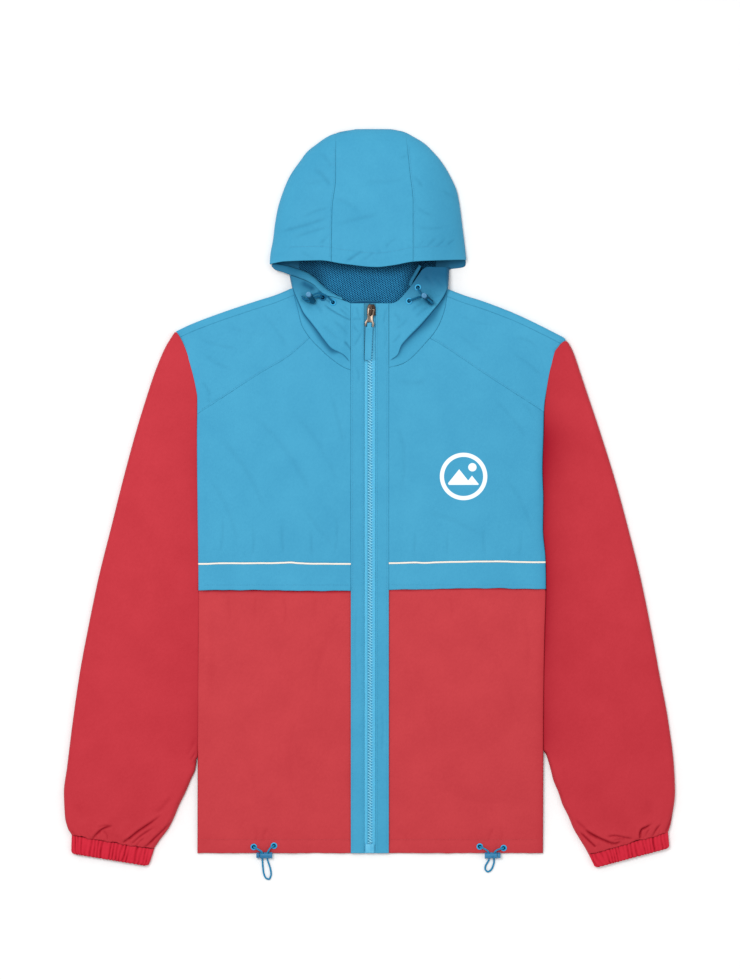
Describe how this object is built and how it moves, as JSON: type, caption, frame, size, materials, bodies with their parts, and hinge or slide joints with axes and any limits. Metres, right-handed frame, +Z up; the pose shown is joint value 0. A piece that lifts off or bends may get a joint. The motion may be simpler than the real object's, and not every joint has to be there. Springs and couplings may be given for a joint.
{
  "type": "windbreaker jacket",
  "caption": "Hooded full-zip windbreaker lying on its back, blue above and red below, with piping, elastic cuffs, mesh-lined hood and drawcords with cord locks.",
  "frame": {"origin": "on the surface the jacket lies on, under the middle of its overall outline", "axes": "+Y from the hem to the top of the hood, +Z up out of the front of the jacket, +X towards the wearer's left sleeve"},
  "size_m": [0.7638, 0.9378, 0.0333],
  "materials": {
    "blue_cloth": "matte woven nylon",
    "red_cloth": "matte woven nylon",
    "cuff_cloth": "matte, gathered over elastic",
    "mesh_lining": "fine knitted mesh",
    "piping": "pale reflective piping, matte",
    "zip_tape": "woven tape",
    "zip_teeth": "moulded coil",
    "zip_metal": "brushed nickel",
    "cord": "round elastic cord",
    "lock_plastic": "moulded, satin",
    "eyelet": "enamelled, satin"
  },
  "bodies": {
    "jacket": {"back_body": "red_cloth", "back_yoke": "blue_cloth", "brim_facing": "blue_cloth", "chest_left": "blue_cloth", "chest_right": "blue_cloth", "collar_left": "blue_cloth", "collar_right": "blue_cloth", "cord_hem_left": "cord", "cord_hem_right": "cord", "cord_hood_left": "cord", "cord_hood_right": "cord", "cuff_left": "cuff_cloth", "cuff_right": "cuff_cloth", "eyelet_hem_left_inner": "eyelet", "eyelet_hem_left_outer": "eyelet", "eyelet_hem_right_inner": "eyelet", "eyelet_hem_right_outer": "eyelet", "eyelet_hood_left_lower": "eyelet", "eyelet_hood_left_upper": "eyelet", "eyelet_hood_right_lower": "eyelet", "eyelet_hood_right_upper": "eyelet", "front_yoke_left": "blue_cloth", "front_yoke_right": "blue_cloth", "hood_back": "blue_cloth", "hood_band_left": "blue_cloth", "hood_band_right": "blue_cloth", "hood_crown": "blue_cloth", "hood_lining": "mesh_lining", "hood_side_left": "blue_cloth", "hood_side_right": "blue_cloth", "lock_button_hem_left": "lock_plastic", "lock_button_hem_right": "lock_plastic", "lock_button_hood_left": "lock_plastic", "lock_button_hood_right": "lock_plastic", "lock_hem_left": "lock_plastic", "lock_hem_right": "lock_plastic", "lock_hood_left": "lock_plastic", "lock_hood_right": "lock_plastic", "lower_front_left": "red_cloth", "lower_front_right": "red_cloth", "piping_left": "piping", "piping_right": "piping", "sleeve_top_left": "red_cloth", "sleeve_top_right": "red_cloth", "sleeve_under_left": "red_cloth", "sleeve_under_right": "red_cloth", "slider": "zip_metal", "storm_flap_left": "blue_cloth", "storm_flap_right": "blue_cloth", "zip_box": "zip_tape", "zip_facing_left": "blue_cloth", "zip_facing_right": "blue_cloth", "zip_guard": "blue_cloth", "zip_tape_left": "zip_tape", "zip_tape_right": "zip_tape", "zip_teeth": "zip_teeth"},
    "zip_pull": {"pull_tab": "zip_metal", "puller": "blue_cloth"}
  },
  "joints": [
    {"name": "pull_hinge", "type": "hinge", "parent": "jacket", "child": "zip_pull", "pos_m": [0.0012, 0.2355, 0.0173], "axis": [-1, 0, 0], "range_deg": [0, 140]}
  ]
}
